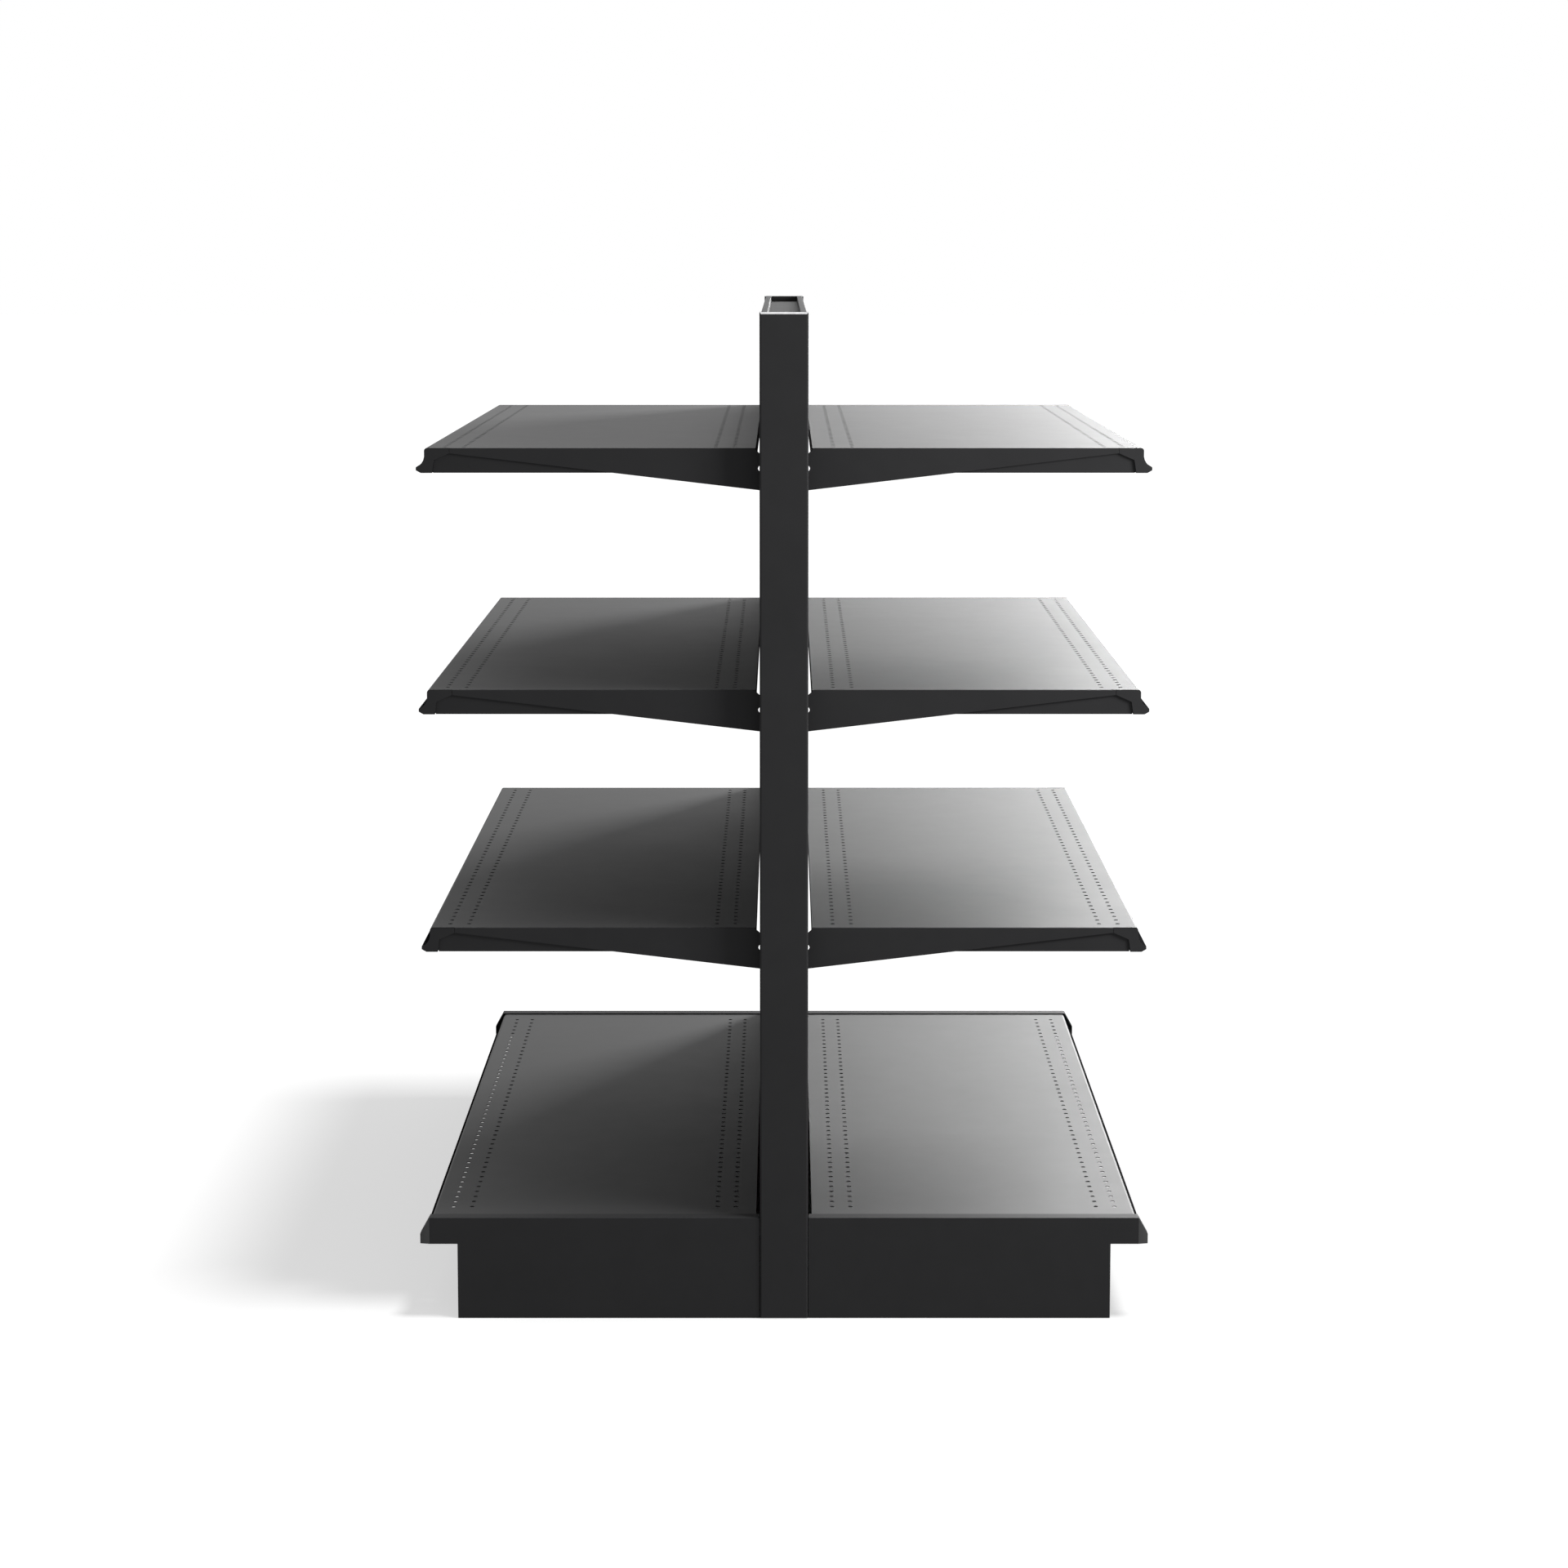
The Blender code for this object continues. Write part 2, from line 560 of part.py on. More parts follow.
def make_meshes():
    """One mesh for each kind of piece; those with a hand have one for each end."""
    web = SHEET / 2 + TOUCH_GAP
    solids = {
        "pan": shelf_pan(SHELF_HALF),
        "moulding": front_moulding(SHELF_HALF),
        "bracket": shelf_bracket(),
        "deck": shelf_pan(DECK_HALF),
        "deck_moulding": front_moulding(DECK_HALF),
        "kick": kick_plate(),
        "leveller": leveller(),
        "bottom_rail": bottom_rail(),
        "centre_rail": centre_rail(),
        "panel_lower": back_panel(PANEL_FOOT, CENTRE_RAIL_Z - web),
        "panel_upper": back_panel(CENTRE_RAIL_Z + web, PANEL_TOP),
        "top_rail": top_rail(),
    }
    for kind, maker in (("upright", upright), ("trim", end_trim), ("shoe", base_shoe), ("cover", end_cover)):
        solids[f"{kind}_far"] = maker()
        solids[f"{kind}_near"] = mirror_y(maker())
    return {kind: mesh_of(solid, kind) for kind, solid in solids.items()}


def make_coats():
    """Dark satin powder coat on the steel, paint on the boards and zinc on the screws."""
    charcoal = (0.026, 0.026, 0.027)
    base_grey = (0.021, 0.021, 0.022)
    return {
        "shelf": coat("shelf_coat", charcoal, 0.42, 0.0),
        "moulding": coat("moulding_coat", charcoal, 0.45, 0.0),
        "bracket": coat("bracket_coat", charcoal, 0.5, 0.0),
        "upright": coat("upright_coat", charcoal, 0.5, 0.0),
        "trim": coat("trim_coat", charcoal, 0.5, 0.0),
        "cover": coat("cover_coat", base_grey, 0.5, 0.0),
        "kick": coat("kick_coat", base_grey, 0.5, 0.0),
        "rail": coat("rail_coat", charcoal, 0.45, 0.0),
        "panel": coat("panel_paint", (0.030, 0.030, 0.030), 0.6, 0.0),
        "shoe": coat("shoe_coat", (0.020, 0.020, 0.020), 0.6, 0.0),
        "leveller": coat("leveller_zinc", (0.55, 0.55, 0.56), 0.35, 1.0),
    }


def build():
    """The whole bay."""
    for leftover in list(bpy.data.objects):
        bpy.data.objects.remove(leftover)
    meshes = make_meshes()
    coats = make_coats()
    for helper in list(bpy.data.objects):
        bpy.data.objects.remove(helper)
    for end in ENDS:
        add_piece(f"upright_{end}", meshes[f"upright_{end}"], coats["upright"])
        add_piece(f"end_trim_{end}", meshes[f"trim_{end}"], coats["trim"])
    add_piece("top_rail", meshes["top_rail"], coats["rail"])
    for side in SIDES:
        half_turn = side == "left"
        frame = guide(f"side_{side}", None, (0, 0, 0), half_turn)
        build_base(side, frame, half_turn, meshes, coats)
        build_back(side, frame, meshes, coats)
        for level, bearing in enumerate(shelf_bearings(), start=1):
            build_shelf(f"shelf_{side}_{level}", frame, bearing, half_turn, meshes, coats)


build()
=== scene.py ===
import json
import math

import bmesh
import bpy
from mathutils import Matrix, Vector


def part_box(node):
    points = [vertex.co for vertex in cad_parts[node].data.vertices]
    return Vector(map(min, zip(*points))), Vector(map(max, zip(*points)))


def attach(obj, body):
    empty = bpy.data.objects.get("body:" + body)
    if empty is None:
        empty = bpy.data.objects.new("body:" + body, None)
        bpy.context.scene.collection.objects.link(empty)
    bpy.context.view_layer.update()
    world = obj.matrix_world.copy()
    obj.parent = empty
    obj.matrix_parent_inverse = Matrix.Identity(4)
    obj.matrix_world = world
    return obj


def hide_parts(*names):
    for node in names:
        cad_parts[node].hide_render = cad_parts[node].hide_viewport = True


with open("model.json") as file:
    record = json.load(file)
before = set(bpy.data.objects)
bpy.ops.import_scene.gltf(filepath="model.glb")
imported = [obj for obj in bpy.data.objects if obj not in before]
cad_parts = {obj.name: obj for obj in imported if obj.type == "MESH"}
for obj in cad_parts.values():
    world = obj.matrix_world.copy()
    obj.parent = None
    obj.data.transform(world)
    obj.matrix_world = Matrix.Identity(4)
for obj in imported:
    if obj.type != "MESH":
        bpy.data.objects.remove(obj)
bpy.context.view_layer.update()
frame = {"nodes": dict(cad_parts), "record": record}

# The bay: names of its sides, ends and levels
SIDES = ("right", "left")
ENDS = ("near", "far")
LEVELS = (1, 2, 3)

# Perforations: round holes in rows along the rear and the front of each top, in metres
HOLE_DIAMETER = 0.0068
HOLE_PITCH = 0.0254
HOLES_IN_ROW = 46
HOLE_SIDES = 16
HOLE_REACH = 0.006
REAR_ROW_INSETS = (0.0310, 0.0584)
FRONT_ROW_INSETS = (0.0277, 0.0556)
ROW_NAMES = ("Row 1", "Row 2", "Row 3", "Row 4")

# Folded and sheared edges are softened by these widths
SHEET_EDGE = 0.0004
PLATE_EDGE = 0.0005
TRIM_EDGE = 0.0009
COVER_EDGE = 0.0006
BOARD_EDGE = 0.0006
EDGE_SEGMENTS = 2
SHARP_ANGLE = math.radians(30)
FLAT_ANGLE = math.radians(0.5)
WELD_DISTANCE = 0.00002

# Least share of an axis in the normals of end faces, cover noses and cut edges
END_FACING = 0.9
NOSE_TURN = 0.1
CUT_EDGE_TILT = 0.25

# Slanted upper edge of the end trims
CUT_EDGE_HEIGHT = 0.003
CUT_EDGE_DEPTH = 0.0012

# Channels welded under the shelves, below the rows of perforations;
# the front one also backs the seam of the price moulding
STIFFENER_OVERLAP = 0.010
STIFFENER_DEPTH = 0.006
STIFFENER_FLANGE = 0.012
STIFFENER_SHEET = 0.001
STIFFENER_SEAT = 0.0013
STIFFENER_END_GAP = 0.006
SEAM_BACKING_INSET = 0.0042
SEAM_BACKING_DEPTH = 0.0173

# Levelling screws; the pad's rim is found by a share of its width, the shoe's tab within some stem radii
THREAD_PITCH = 0.0015
THREAD_DEPTH = 0.0006
THREAD_STEPS = 18
THREAD_SIDES = 4
THREAD_END_GAP = 0.002
PAD_ROUNDING = 0.0015
PAD_RIM_SHARE = 0.4
TAB_STEM_RADII = 2
NUT_SIDES = 6
NUT_ACROSS_FLATS = 0.017
NUT_HEIGHT = 0.008
NUT_CLEARANCE = 0.0003
NUT_SEAT_GAP = 0.0003
ROUND_SIDES = 32

# Finishes, as linear colours
TOP_CHARCOAL = (0.0160, 0.0160, 0.0165)
CHARCOAL = (0.0260, 0.0260, 0.0270)
TRIM_CHARCOAL = (0.0270, 0.0270, 0.0280)
# Lighter grey for the turned faces of the base covers' noses: a painted highlight
NOSE_HIGHLIGHT_GREY = (0.0680, 0.0680, 0.0690)
MOULDING_BLACK = (0.0100, 0.0100, 0.0105)
PANEL_BLACK = (0.0200, 0.0200, 0.0200)
BARE_METAL = (0.75, 0.75, 0.76)
ZINC = (0.55, 0.55, 0.56)
TOP_SPECULAR = 0.45
COAT_SPECULAR = 0.08
MOULDING_SPECULAR = 0.0
PANEL_SPECULAR = 0.4
METAL_SPECULAR = 0.5
COAT_ROUGHNESS = 0.62
MOULDING_ROUGHNESS = 0.80
PANEL_ROUGHNESS = 0.58
ZINC_ROUGHNESS = 0.38
CUT_EDGE_ROUGHNESS = 0.35
PAINTED = 0.0
METALLIC = 1.0

# Grain of the finishes: each noise has a scale per metre and a detail, each tint a darkest and a lightest
# share of the colour, and each relief a strength and a depth in metres
NOISE_ROUGHNESS = 0.55
NOISE_MIDDLE = 0.5
POWDER_CLOUDS = (7.0, 3.0)
POWDER_PATCHES = (28.0, 2.0)
POWDER_PEEL = (900.0, 2.0)
POWDER_CLOUD_SHARE = 0.6
POWDER_TINT = (0.86, 1.14)
POWDER_CLOUD_GLOSS = 0.04
POWDER_PATCH_GLOSS = 0.03
POWDER_RELIEF = (0.05, 0.0002)
BOARD_CLOUDS = (6.0, 3.0)
BOARD_FIBRE = (420.0, 4.0)
BOARD_FIBRE_STRETCH = (1.0, 0.25, 1.0)
BOARD_CLOUD_SHARE = 0.5
BOARD_TINT = (0.80, 1.20)
BOARD_GLOSS = 0.20
BOARD_RELIEF = (0.12, 0.0003)
ZINC_BLOOM = (160.0, 3.0)
ZINC_SCRATCHES = (1400.0, 2.0)
ZINC_TINT = (0.75, 1.10)
ZINC_GLOSS = 0.25
ZINC_RELIEF = (0.06, 0.0001)

# Camera: tilted a little down, in front of the near end of the bay
CAMERA_PLACE = (0.0, -5.2014, 1.6009)
CAMERA_TILT = math.radians(6.183)
CAMERA_LENS = 72.632
CAMERA_SENSOR = 36.0
CAMERA_SHIFT = -0.13

# Studio: a white floor, even light all round, a steep soft light and soft boxes behind and in front;
# each box has a name, a place, a side and a power in watts, and the left tops have a rear box of their own
FLOOR_HALF = 60.0
FLOOR_WHITE = 0.80
FLOOR_GLOW = 0.55
AMBIENT = 0.24
STEEP_LIGHT_FROM = (0.28, -0.06, 0.95)
STEEP_LIGHT_STRENGTH = 1.45
STEEP_LIGHT_ANGLE = math.radians(12)
BOX_AIM = (0.0, 0.0, 0.8)
SOFT_BOXES = (
    ("rear_box", (2.68, 6.79, 2.44), 2.75, 735),
    ("left_tops_box", (4.00, 6.15, 2.44), 2.2, 1200),
    ("rear_box_near", (0.60, 1.80, 1.9), 1.2, 5),
    ("front_box", (1.80, -1.45, 1.8), 0.8, 50),
)


class Value:
    """An output socket of a tree; arithmetic on it adds Math nodes."""

    def __init__(self, tree, socket):
        self.tree = tree
        self.socket = socket

    def math(self, operation, first, second):
        return self.tree.node("ShaderNodeMath", {"operation": operation}, {0: first, 1: second})

    def __add__(self, other):
        return self.math("ADD", self, other)

    def __radd__(self, other):
        return self.math("ADD", other, self)

    def __sub__(self, other):
        return self.math("SUBTRACT", self, other)

    def __rsub__(self, other):
        return self.math("SUBTRACT", other, self)

    def __mul__(self, other):
        return self.math("MULTIPLY", self, other)

    def __rmul__(self, other):
        return self.math("MULTIPLY", other, self)


class Tree:
    """A node tree whose nodes all come from one method."""

    def __init__(self, tree):
        self.tree = tree
        self.tree.nodes.clear()

    def node(self, kind, settings=None, inputs=None, output=0):
        """Adds a node, sets its settings, then its inputs by name or place, and gives one output."""
        made = self.tree.nodes.new(kind)
        for name, setting in (settings or {}).items():
            setattr(made, name, setting)
        for key, given in (inputs or {}).items():
            for value in given if isinstance(given, list) else [given]:
                if isinstance(value, Value):
                    self.tree.links.new(value.socket, made.inputs[key])
                else:
                    made.inputs[key].default_value = value
        return Value(self, made.outputs[output]) if made.outputs else None


# Materials
def surface_noise(tree, grain, place):
    """Soft noise from 0 to 1, fixed to the piece's own coordinates."""
    scale, detail = grain
    return tree.node("ShaderNodeTexNoise", {"noise_dimensions": "3D"},
                     {"Vector": place, "Scale": scale, "Detail": detail, "Roughness": NOISE_ROUGHNESS})


def tinted(tree, share, colour, tint):
    """The colour, darker where the share is 0 and lighter where it is 1."""
    dark, light = [(*[tone * c for c in colour], 1.0) for tone in tint]
    return tree.node("ShaderNodeMix", {"data_type": "RGBA"},
                     {"Factor": share, "A": dark, "B": light}, "Result")


def raised(tree, height, relief):
    """Normal of a surface with a fine relief."""
    strength, depth = relief
    return tree.node("ShaderNodeBump", None, {"Strength": strength, "Distance": depth, "Height": height})


def finish_material(name, colour, roughness, specular, metallic, look):
    """Principled material whose colour, roughness and relief come from a look."""
    material = bpy.data.materials.new(name)
    material.use_nodes = True
    tree = Tree(material.node_tree)
    place = tree.node("ShaderNodeTexCoord", output="Object")
    tint, rough, normal = look(tree, place, colour, roughness)
    shader = tree.node("ShaderNodeBsdfPrincipled", None, {
        "Base Color": tint, "Roughness": rough, "Metallic": metallic,
        "Specular IOR Level": specular, "Normal": normal})
    tree.node("ShaderNodeOutputMaterial", None, {"Surface": shader})
    return material


def powder_look(tree, place, colour, roughness):
    """Powder coat: faint clouds in tone and gloss over a fine orange peel."""
    clouds = surface_noise(tree, POWDER_CLOUDS, place)
    patches = surface_noise(tree, POWDER_PATCHES, place)
    peel = surface_noise(tree, POWDER_PEEL, place)
    share = clouds * POWDER_CLOUD_SHARE + patches * (1 - POWDER_CLOUD_SHARE)
    tint = tinted(tree, share, colour, POWDER_TINT)
    dull = (clouds - NOISE_MIDDLE) * POWDER_CLOUD_GLOSS + (patches - NOISE_MIDDLE) * POWDER_PATCH_GLOSS
    return tint, roughness + dull, raised(tree, peel, POWDER_RELIEF)


def hardboard_look(tree, place, colour, roughness):
    """Painted board: a fine fibre under the paint, drawn out along the board."""
    drawn = tree.node("ShaderNodeMapping", None, {"Vector": place, "Scale": BOARD_FIBRE_STRETCH})
    fibre = surface_noise(tree, BOARD_FIBRE, drawn)
    clouds = surface_noise(tree, BOARD_CLOUDS, place)
    share = clouds * BOARD_CLOUD_SHARE + fibre * (1 - BOARD_CLOUD_SHARE)
    tint = tinted(tree, share, colour, BOARD_TINT)
    dull = (fibre - NOISE_MIDDLE) * BOARD_GLOSS
    return tint, roughness + dull, raised(tree, fibre, BOARD_RELIEF)


def zinc_look(tree, place, colour, roughness):
    """Zinc plate: a mottled bright metal with a dull bloom."""
    bloom = surface_noise(tree, ZINC_BLOOM, place)
    scratches = surface_noise(tree, ZINC_SCRATCHES, place)
    tint = tinted(tree, bloom, colour, ZINC_TINT)
    dull = (bloom - NOISE_MIDDLE) * ZINC_GLOSS
    return tint, roughness + dull, raised(tree, scratches, ZINC_RELIEF)


def powder_coat(name, colour, specular, roughness):
    """Powder-coated steel."""
    return finish_material(f"{name}_powder_coat", colour, roughness, specular, PAINTED, powder_look)


def bright_metal(name, colour, roughness):
    """Bare or plated metal."""
    return finish_material(name, colour, roughness, METAL_SPECULAR, METALLIC, zinc_look)


FINISHES = {
    "shelf_coat": powder_coat("shelf", TOP_CHARCOAL, TOP_SPECULAR, COAT_ROUGHNESS),
    "moulding_coat": powder_coat("moulding", MOULDING_BLACK, MOULDING_SPECULAR, MOULDING_ROUGHNESS),
    "bracket_coat": powder_coat("bracket", CHARCOAL, COAT_SPECULAR, COAT_ROUGHNESS),
    "frame_coat": powder_coat("frame", CHARCOAL, COAT_SPECULAR, COAT_ROUGHNESS),
    "trim_coat": powder_coat("trim", TRIM_CHARCOAL, COAT_SPECULAR, COAT_ROUGHNESS),
    "base_coat": powder_coat("base", CHARCOAL, COAT_SPECULAR, COAT_ROUGHNESS),
    "panel_paint": finish_material("panel_paint", PANEL_BLACK, PANEL_ROUGHNESS, PANEL_SPECULAR, PAINTED,
                                   hardboard_look),
    "leveller_zinc": bright_metal("leveller_zinc", ZINC, ZINC_ROUGHNESS),
}
# Painted highlight: a lighter grey on the turned faces of the base covers' noses
NOSE_HIGHLIGHT_FINISH = powder_coat("cover_nose_painted_highlight", NOSE_HIGHLIGHT_GREY, COAT_SPECULAR, COAT_ROUGHNESS)
CUT_EDGE_FINISH = bright_metal("bare_cut_edge", BARE_METAL, CUT_EDGE_ROUGHNESS)
SLOT_OF = {row["node"]: row["material_slot"] for row in frame["record"]["subparts"]}
BODY_OF = {node: body for body, nodes in frame["record"]["behaviour"]["bodies"].items() for node in nodes}


# Meshes
def linked(name, mesh):
    """New object in the scene."""
    piece = bpy.data.objects.new(name, mesh)
    bpy.context.scene.collection.objects.link(piece)
    return piece


def plain_mesh(piece, name):
    """The object's evaluated mesh as plain data; the object is used up."""
    graph = bpy.context.evaluated_depsgraph_get()
    mesh = bpy.data.meshes.new_from_object(piece.evaluated_get(graph))
    mesh.name = name
    used = piece.data
    bpy.data.objects.remove(piece)
    bpy.data.meshes.remove(used)
    return mesh


def mesh_of(shape, name):
    """Mesh data from a bmesh, which is used up."""
    mesh = bpy.data.meshes.new(name)
    shape.to_mesh(mesh)
    shape.free()
    return mesh


def welded_copy(node):
    """Copy of a CAD node's mesh with its triangles joined into flat faces."""
    shape = bmesh.new()
    shape.from_mesh(frame["nodes"][node].data)
    bmesh.ops.remove_doubles(shape, verts=shape.verts, dist=WELD_DISTANCE)
    bmesh.ops.dissolve_limit(shape, angle_limit=FLAT_ANGLE, verts=shape.verts, edges=shape.edges)
    mesh = mesh_of(shape, f"{node}_welded")
    mesh.materials.clear()
    return mesh


def soften(piece, width):
    """Rounds the piece's sharp edges."""
    bevel = piece.modifiers.new("soft_edges", "BEVEL")
    bevel.width = width
    bevel.segments = EDGE_SEGMENTS
    bevel.limit_method = "ANGLE"
    bevel.angle_limit = SHARP_ANGLE
    bevel.use_clamp_overlap = True


def settle_shading(mesh):
    """Smooth shading that leaves flat faces flat."""
    mesh.shade_smooth()
    mesh.set_sharp_from_angle(angle=SHARP_ANGLE)
    piece = linked("shading", mesh)
    weighted = piece.modifiers.new("flat_faces", "WEIGHTED_NORMAL")
    weighted.keep_sharp = True
    return plain_mesh(piece, mesh.name)


def softened_mesh(node, width):
    """A CAD node's shape with soft edges."""
    piece = linked(f"{node}_soft", welded_copy(node))
    soften(piece, width)
    return plain_mesh(piece, f"{node}_finish")


def dress(name, mesh, node, stands_for=True):
    """Shows a mesh on the body of a CAD node, in that node's finish."""
    slot = SLOT_OF[node]
    mesh.materials.clear()
    mesh.materials.append(FINISHES[slot])
    piece = linked(name, mesh)
    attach(piece, BODY_OF[node])
    if stands_for:
        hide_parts(node)
    return piece


def dress_node(node, width):
    """Replaces a CAD node by its own shape with soft edges."""
    return dress(f"{node}_finish", settle_shading(softened_mesh(node, width)), node)


def second_coat(piece, finish, takes_it):
    """Another finish on those faces of a piece whose normals call for it."""
    piece.data.materials.append(finish)
    for face in piece.data.polygons:
        if takes_it(face.normal):
            face.material_index = 1


def on_end(normal):
    """Faces that close the near and the far end of a piece."""
    return abs(normal.y) > END_FACING


def on_nose(normal):
    """Upright faces on a base cover's nose, which are turned a little outwards and get a lighter grey as a
    painted highlight.
    """
    return abs(normal.y) > END_FACING and abs(normal.x) > NOSE_TURN


def on_cut_edge(normal):
    """Slanted upper edge of an end trim."""
    return abs(normal.y) > CUT_EDGE_TILT and normal.z > CUT_EDGE_TILT


# Geometry Nodes trees
def shape_tree(name, geometry, sizes, counts, result):
    """Geometry Nodes tree with its named inputs, their identifiers and the values that they give."""
    group = bpy.data.node_groups.new(name, "GeometryNodeTree")
    tree = Tree(group)
    keys = {}
    kinds = {"Geometry": [geometry], "Float": sizes, "Int": counts, "Material": ["Finish"]}
    for kind, labels in kinds.items():
        for label in labels:
            socket = group.interface.new_socket(label, in_out="INPUT", socket_type=f"NodeSocket{kind}")
            keys[label] = socket.identifier
    group.interface.new_socket(result, in_out="OUTPUT", socket_type="NodeSocketGeometry")
    given = {label: tree.node("NodeGroupInput", output=label) for label in keys}
    return group, tree, keys, given


def finish_tree(tree, geometry, finish, result):
    """Ends a Geometry Nodes tree with one plain mesh in its finish."""
    whole = tree.node("GeometryNodeRealizeInstances", None, {"Geometry": geometry})
    coated = tree.node("GeometryNodeSetMaterial", None, {"Geometry": whole, "Material": finish})
    tree.node("NodeGroupOutput", None, {result: coated})


def run_tree(piece, group, keys, inputs):
    """Puts a Geometry Nodes tree on a piece and sets the tree's inputs."""
    modifier = piece.modifiers.new(group.name, "NODES")
    modifier.node_group = group
    for label, value in inputs.items():
        modifier[keys[label]] = value


# Perforated tops
def perforation_tree():
    """Geometry Nodes tree that drills rows of round holes down through a sheet."""
    sizes = (*ROW_NAMES, "Pitch", "Top", "Reach", "Hole Diameter")
    group, tree, keys, given = shape_tree("perforations", "Sheet", sizes, ("Holes", "Sides"), "Sheet")
    first = given["Pitch"] * (1 - given["Holes"]) * 0.5
    step = tree.node("ShaderNodeCombineXYZ", None, {"Y": given["Pitch"]})
    rows = []
    for name in ROW_NAMES:
        start = tree.node("ShaderNodeCombineXYZ", None, {"X": given[name], "Y": first, "Z": given["Top"]})
        rows.append(tree.node("GeometryNodeMeshLine", {"mode": "OFFSET"},
                              {"Count": given["Holes"], "Start Location": start, "Offset": step}))
    points = tree.node("GeometryNodeJoinGeometry", None, {"Geometry": rows})
    drill = tree.node("GeometryNodeMeshCylinder", {"fill_type": "NGON"}, {
        "Vertices": given["Sides"], "Radius": given["Hole Diameter"] * 0.5, "Depth": given["Reach"]})
    drills = tree.node("GeometryNodeInstanceOnPoints", None, {"Points": points, "Instance": drill})
    cutters = tree.node("GeometryNodeRealizeInstances", None, {"Geometry": drills})
    drilled = tree.node("GeometryNodeMeshBoolean", {"operation": "DIFFERENCE", "solver": "EXACT"},
                        {"Mesh 1": given["Sheet"], "Mesh 2": cutters})
    finish_tree(tree, drilled, given["Finish"], "Sheet")
    return group, keys


def perforated_mesh(node, group, keys):
    """A right-hand top with soft edges and its rows of holes."""
    low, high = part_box(node)
    rows = [low.x + inset for inset in REAR_ROW_INSETS] + [high.x - inset for inset in FRONT_ROW_INSETS]
    piece = linked(f"{node}_sheet", softened_mesh(node, SHEET_EDGE))
    run_tree(piece, group, keys, {
        **dict(zip(ROW_NAMES, rows)), "Pitch": HOLE_PITCH, "Top": high.z, "Reach": HOLE_REACH,
        "Hole Diameter": HOLE_DIAMETER, "Holes": HOLES_IN_ROW, "Sides": HOLE_SIDES,
        "Finish": FINISHES[SLOT_OF[node]]})
    return settle_shading(plain_mesh(piece, f"{node}_perforated"))


def stiffener_mesh(node, rear, front, front_depth):
    """Folded channel under a right-hand shelf top, which shuts off the view through its holes."""
    low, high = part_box(node)
    seat = high.z - STIFFENER_SEAT
    web = seat - STIFFENER_DEPTH
    web_top = web + STIFFENER_SHEET
    foot = seat - front_depth
    rear_wall = rear + STIFFENER_SHEET
    front_wall = front - STIFFENER_SHEET
    outline = [(rear, seat), (rear, web), (front_wall, web), (front_wall, foot), (front, foot),
               (front, seat), (front_wall, seat), (front_wall, web_top), (rear_wall, web_top),
               (rear_wall, seat)]
    ends = (low.y + STIFFENER_END_GAP, high.y - STIFFENER_END_GAP)
    shape = bmesh.new()
    rings = [[shape.verts.new((x, y, z)) for x, z in outline] for y in ends]
    for i in range(len(outline)):
        j = (i + 1) % len(outline)
        shape.faces.new((rings[0][i], rings[0][j], rings[1][j], rings[1][i]))
    shape.faces.new(rings[0])
    shape.faces.new(rings[1])
    bmesh.ops.recalc_face_normals(shape, faces=shape.faces)
    return mesh_of(shape, f"{node}_stiffener")


def placed_copy(mesh, lift, side):
    """The mesh raised, and turned half round for the left-hand side."""
    copy = mesh.copy()
    turn = Matrix.Rotation(math.pi if side == "left" else 0.0, 4, "Z")
    copy.transform(Matrix.Translation((0, 0, lift)) @ turn)
    return copy


def add_tops():
    """Perforated shelf tops and base decks, with the shelves' stiffeners; gives the tops of each side."""
    group, keys = perforation_tree()
    shelf = perforated_mesh("shelf_right_1_pan", group, keys)
    deck = perforated_mesh("base_deck_right", group, keys)
    low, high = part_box("shelf_right_1_pan")
    stiffeners = {
        "front": stiffener_mesh("shelf_right_1_pan", high.x - FRONT_ROW_INSETS[1] - STIFFENER_OVERLAP,
                                high.x - SEAM_BACKING_INSET, SEAM_BACKING_DEPTH),
        "rear": stiffener_mesh("shelf_right_1_pan", low.x + REAR_ROW_INSETS[0] - STIFFENER_OVERLAP,
                               low.x + REAR_ROW_INSETS[1] + STIFFENER_OVERLAP, STIFFENER_FLANGE)}
    tops = {}
    for side in SIDES:
        node = f"base_deck_{side}"
        tops[side] = [dress(f"{node}_perforated", placed_copy(deck, 0.0, side), node)]
        for level in LEVELS:
            node = f"shelf_{side}_{level}_pan"
            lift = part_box(node)[1].z - high.z
            top = dress(f"{node}_perforated", placed_copy(shelf, lift, side), node)
            second_coat(top, FINISHES["bracket_coat"], on_end)
            tops[side].append(top)
            for place, stiffener in stiffeners.items():
                channel = placed_copy(stiffener, lift, side)
                dress(f"{node}_{place}_stiffener", channel, node, stands_for=False)
    return tops


# Levelling screws
def turned_solid(profile, sides):
    """Closed round solid about Z from (radius, height) points, top to bottom."""
    shape = bmesh.new()
    rings = []
    for radius, height in profile:
        turn = [2 * math.pi * i / sides for i in range(sides)]
        rings.append([shape.verts.new((radius * math.cos(a), radius * math.sin(a), height)) for a in turn])
    for upper, lower in zip(rings, rings[1:]):
        for i in range(sides):
            j = (i + 1) % sides
            shape.faces.new((upper[i], lower[i], lower[j], upper[j]))
    shape.faces.new(rings[0])
    shape.faces.new(rings[-1][::-1])
    bmesh.ops.recalc_face_normals(shape, faces=shape.faces)
    return shape


